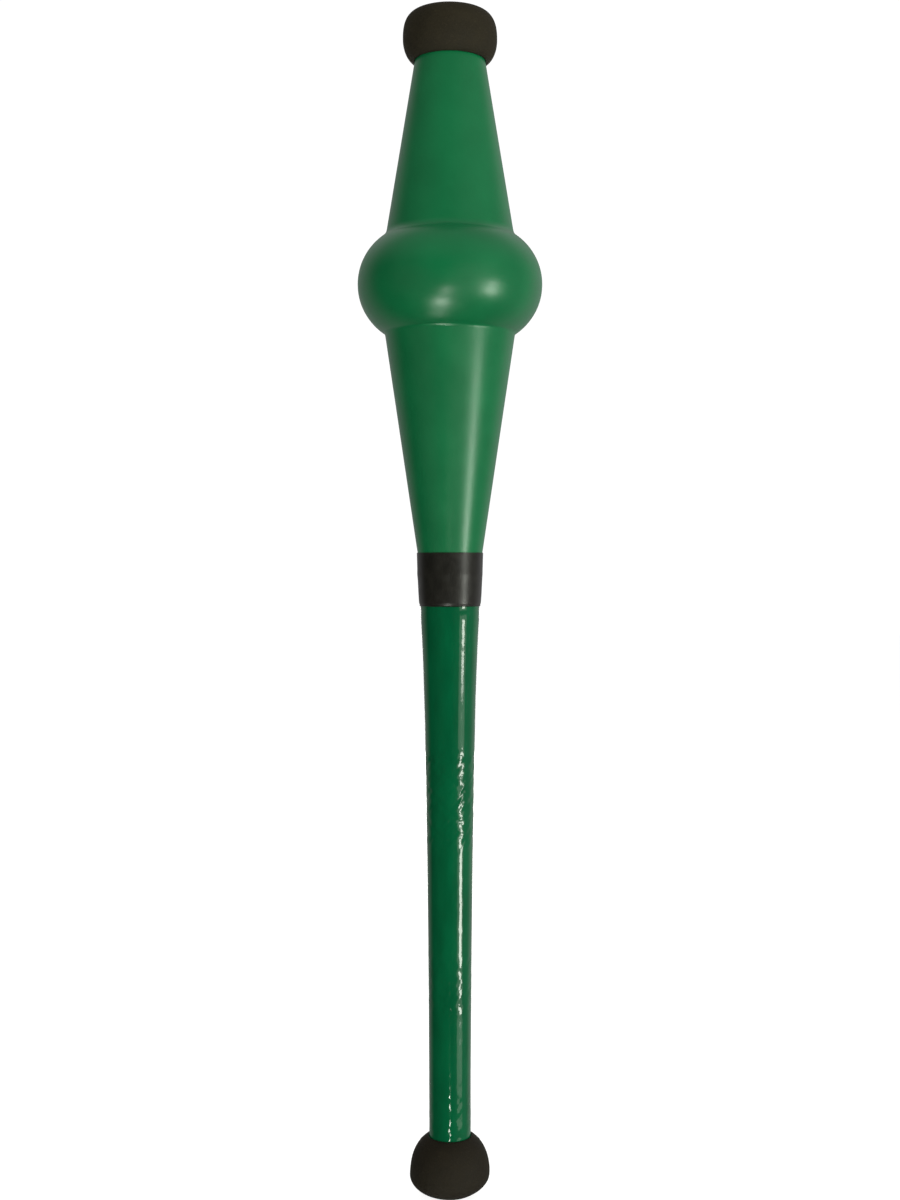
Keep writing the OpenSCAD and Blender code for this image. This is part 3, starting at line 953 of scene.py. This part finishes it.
class CLUB_OT_foam_ends(bpy.types.Operator):
    """Builds the foam cap on the crown and the foam knob under the grip"""
    bl_idname = "club.foam_ends"
    bl_label = "Foam ends"

    def execute(self, context):
        club = settings()
        sizes = club.foam
        cap_r = widest("crown_foam")[0]
        knob_r, knob_z = widest("knob_foam")

        def tilted(points):
            """Slopes the cap's outer part across the club."""
            x, y, z = np.moveaxis(points, -1, 0)
            weight = smooth_step(np.hypot(x, y), 0.6 * cap_r, 0.95 * cap_r)
            return np.stack([x, y, z - sizes.cap_tilt * x * weight], axis=-1)

        def leaned(points):
            """Moves the knob's skin sideways, more towards its foot."""
            x, y, z = np.moveaxis(points, -1, 0)
            start = knob_z + 4 * MM
            weight = smooth_step(start - z, 0, start - low("knob_foam"))
            weight = weight * smooth_step(np.hypot(x, y), 0.45 * knob_r, 0.8 * knob_r)
            return np.stack([x - sizes.knob_lean * weight, y, z], axis=-1)

        foam_piece(sizes, "crown_cap", "crown_foam", cap_outline(sizes),
                   skinned_foam("cap_foam_rubber", club.colours.cap, 0.45 * MM), 4, tilted)
        foam_piece(sizes, "knob_ball", "knob_foam", knob_outline(sizes),
                   skinned_foam("knob_foam_rubber", club.colours.knob, 0.40 * MM), 9, leaned)
        return {"FINISHED"}


# ---------------------------------------------------------------- the pieces left as they are

class CLUB_OT_inner_finishes(bpy.types.Operator):
    """Finishes the wood, the nylon and the steel pieces of the frame"""
    bl_idname = "club.inner_finishes"
    bl_label = "Inner finishes"

    def execute(self, context):
        colours = settings().colours
        steel = zinc_steel("zinc_plated_steel", colours.steel)
        finishes = {
            "core_dowel": turned_wood("turned_beech", colours.core, 1.6 * MM),
            "crown_plug": turned_wood("turned_birch", colours.plug, 2.4 * MM),
            "neck_bush": moulded_nylon("natural_nylon", colours.bush),
            "neck_tacks": steel,
            "crown_washer": steel,
            "crown_screw": steel,
            "knob_washer": steel,
            "knob_screw": steel,
        }
        for node, finish in finishes.items():
            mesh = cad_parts[node].data
            mesh.materials.clear()
            mesh.materials.append(finish)
        return {"FINISHED"}


# ---------------------------------------------------------------- the stage

def soft_light(name, place, target, size, radiance, fill):
    """A rectangular light at place that faces target. Its power gives it the radiance. A fill
    lights the surfaces and leaves no highlight; any other light gives a highlight alone."""
    data = bpy.data.lights.new(name, "AREA")
    data.shape = "RECTANGLE"
    data.size, data.size_y = size
    data.energy = radiance * math.pi * size[0] * size[1]
    light = bpy.data.objects.new(name, data)
    bpy.context.scene.collection.objects.link(light)
    light.location = place
    towards = np.subtract(target, place)
    azimuth = math.atan2(towards[0], towards[1])
    rise = math.atan2(towards[2], math.hypot(towards[0], towards[1]))
    light.rotation_euler = (math.pi / 2 + rise, 0, -azimuth)
    data.color = (0.97, 1.0, 0.91)
    light.visible_camera = False
    light.visible_glossy = not fill
    light.visible_diffuse = fill


def bearing(degrees, distance, height):
    """A point at a height, at a distance from the axis, degrees to the right of the camera."""
    angle = math.radians(degrees)
    return (distance * math.sin(angle), -distance * math.cos(angle), height)


class CLUB_OT_stage(bpy.types.Operator):
    """Sets the pale floor, the white surroundings, the soft lights and the camera"""
    bl_idname = "club.stage"
    bl_label = "Stage"

    def execute(self, context):
        colours = settings().colours
        scene = context.scene
        scene.view_settings.view_transform = "Standard"
        self.floor(colours.floor)
        self.surroundings(scene)
        self.lights()
        self.camera(scene)
        return {"FINISHED"}

    def floor(self, base):
        """A wide pale disc under the knob that glows softly, so that it ends in the white."""
        corners = 96
        radius = 6
        rim = np.linspace(0, TURN, corners, endpoint=False)
        level = np.full_like(rim, low("knob_foam") - 0.3 * MM)
        points = np.stack([radius * np.cos(rim), radius * np.sin(rim), level], axis=1)
        mesh = bpy.data.meshes.new("floor")
        mesh.from_pydata(points.tolist(), [], [list(range(corners))])
        finish = Finish("pale_floor", base, 0.9,
                        Emission_Color=(1, 1, 1, 1), Emission_Strength=0.88)
        dust = finish.noise(0.3, detail=3)
        finish.paint(finish.blend(dust, shade(base, 0.98), base))
        mesh.materials.append(finish.material)
        floor = bpy.data.objects.new("floor", mesh)
        bpy.context.scene.collection.objects.link(floor)
        floor.visible_glossy = False
        floor.visible_diffuse = False
        floor.visible_shadow = False

    def surroundings(self, scene):
        """White where the camera looks past the club. What lights the club is a dim room: almost
        dark in front, and greyer above, behind and to the right."""
        world = bpy.data.worlds.new("surroundings")
        world.use_nodes = True
        nodes = world.node_tree.nodes
        links = world.node_tree.links
        towards = nodes.new("ShaderNodeSeparateXYZ")
        links.new(nodes.new("ShaderNodeTexCoord").outputs["Generated"], towards.inputs[0])
        darkest = 0.012
        ramps = (("X", 0.1, 0.9, 0.16), ("Y", 0.12, 0.65, 0.30), ("Z", 0.3, 0.8, 0.28))
        level = None
        for axis, first, last, grey in ramps:
            ramp = nodes.new("ShaderNodeMapRange")
            ramp.interpolation_type = "SMOOTHSTEP"
            ramp.inputs["From Min"].default_value = first
            ramp.inputs["From Max"].default_value = last
            ramp.inputs["To Max"].default_value = grey
            links.new(towards.outputs[axis], ramp.inputs["Value"])
            total = nodes.new("ShaderNodeMath")
            total.inputs[1].default_value = darkest
            links.new(ramp.outputs["Result"], total.inputs[0])
            if level is not None:
                links.new(level, total.inputs[1])
            level = total.outputs[0]
        dim = nodes["Background"]
        dim.inputs["Color"].default_value = (1, 1, 1, 1)
        links.new(level, dim.inputs["Strength"])
        white = nodes.new("ShaderNodeBackground")
        white.inputs["Color"].default_value = (1, 1, 1, 1)
        white.inputs["Strength"].default_value = 1.05
        path = nodes.new("ShaderNodeLightPath")
        mix = nodes.new("ShaderNodeMixShader")
        links.new(path.outputs["Is Camera Ray"], mix.inputs[0])
        links.new(dim.outputs[0], mix.inputs[1])
        links.new(white.outputs[0], mix.inputs[2])
        links.new(mix.outputs[0], nodes["World Output"].inputs["Surface"])
        scene.world = world

    def lights(self):
        """A tall window to the right with two bright panes, a long low lamp in three parts in
        front, a plain window behind, and broad fills. Each row holds a name, the place, the
        target, the width and height, the radiance, and whether it is a fill."""
        middle = (0, 0, 0.08)
        broad = (1.6, 1.6)
        square = (1.2, 1.2)
        rows = (
            ("window", bearing(52, 1.24, -0.22), middle, (0.72, 0.64), 1.2, False),
            ("upper_pane", bearing(54, 1.2, -0.022), middle, (0.24, 0.10), 15.0, False),
            ("lower_pane", bearing(55, 1.2, -0.285), middle, (0.30, 0.24), 15.0, False),
            ("lamp_head", (-0.25, -0.90, -0.99), (-0.25, -0.90, 0), (0.30, 0.30), 18.0, False),
            ("lamp_strip", (-0.23, -1.15, -1.0), (-0.23, -1.15, 0), (0.24, 2.1), 4.0, False),
            ("lamp_foot", (-0.12, -2.12, -0.99), (-0.12, -2.12, 0), (0.18, 0.5), 28.0, False),
            ("front_fill", bearing(32, 1.6, 0.1), middle, broad, 2.9, True),
            ("low_fill", (0.2, -1.0, -0.9), middle, square, 0.8, True),
            ("left_fill", bearing(-50, 1.6, 0.1), middle, broad, 1.3, True),
            ("right_fill", bearing(85, 1.6, 0.1), middle, broad, 0.9, True),
            ("back_fill", bearing(185, 1.6, 0.2), middle, broad, 2.6, True),
            ("back_window", bearing(180, 1.5, -0.05), middle, (0.30, 0.6), 5.0, False),
            ("top_fill", (0, 0.3, 1.7), middle, square, 0.8, True),
        )
        for row in rows:
            soft_light(*row)

    def camera(self, scene):
        """A level camera in front of the club, a little above the grip."""
        data = bpy.data.cameras.new("camera")
        data.sensor_width = 36
        data.lens = 46.26
        data.shift_y = -0.0292
        camera = bpy.data.objects.new("camera", data)
        scene.collection.objects.link(camera)
        distance = 0.681
        eye_height = 0.2773
        camera.location = (0, -distance, low("knob_foam") + eye_height)
        camera.rotation_euler = (math.pi / 2, 0, 0)
        scene.camera = camera


class CLUB_PT_panel(bpy.types.Panel):
    """Lists the club's operators and settings"""
    bl_idname = "CLUB_PT_panel"
    bl_label = "Juggling club"
    bl_space_type = "VIEW_3D"
    bl_region_type = "UI"
    bl_category = "Club"

    def draw(self, context):
        for operator in OPERATORS:
            self.layout.operator(operator.bl_idname)
        for group in ("body", "grip", "band", "foam", "colours"):
            sizes = getattr(context.scene.club, group)
            box = self.layout.box()
            box.label(text=group.capitalize())
            for name in sizes.bl_rna.properties.keys():
                if name not in ("rna_type", "name"):
                    box.prop(sizes, name)


GROUPS = (BodySizes, GripSizes, BandSizes, FoamSizes, Colours, ClubSettings)
OPERATORS = (CLUB_OT_moulded_body, CLUB_OT_grip_film, CLUB_OT_grip_padding, CLUB_OT_joint_band,
             CLUB_OT_tail_tape, CLUB_OT_foam_ends, CLUB_OT_inner_finishes, CLUB_OT_stage)


def register():
    """Makes the settings, the operators and the panel known."""
    for group in GROUPS:
        bpy.utils.register_class(group)
    bpy.types.Scene.club = PointerProperty(type=ClubSettings)
    for operator in OPERATORS:
        bpy.utils.register_class(operator)
    bpy.utils.register_class(CLUB_PT_panel)


def unregister():
    """Takes them away again."""
    bpy.utils.unregister_class(CLUB_PT_panel)
    for operator in reversed(OPERATORS):
        bpy.utils.unregister_class(operator)
    del bpy.types.Scene.club
    for group in reversed(GROUPS):
        bpy.utils.unregister_class(group)


def main():
    """Builds the club."""
    register()
    for operator in OPERATORS:
        group, name = operator.bl_idname.split(".")
        getattr(getattr(bpy.ops, group), name)()


if __name__ == "__main__":
    main()
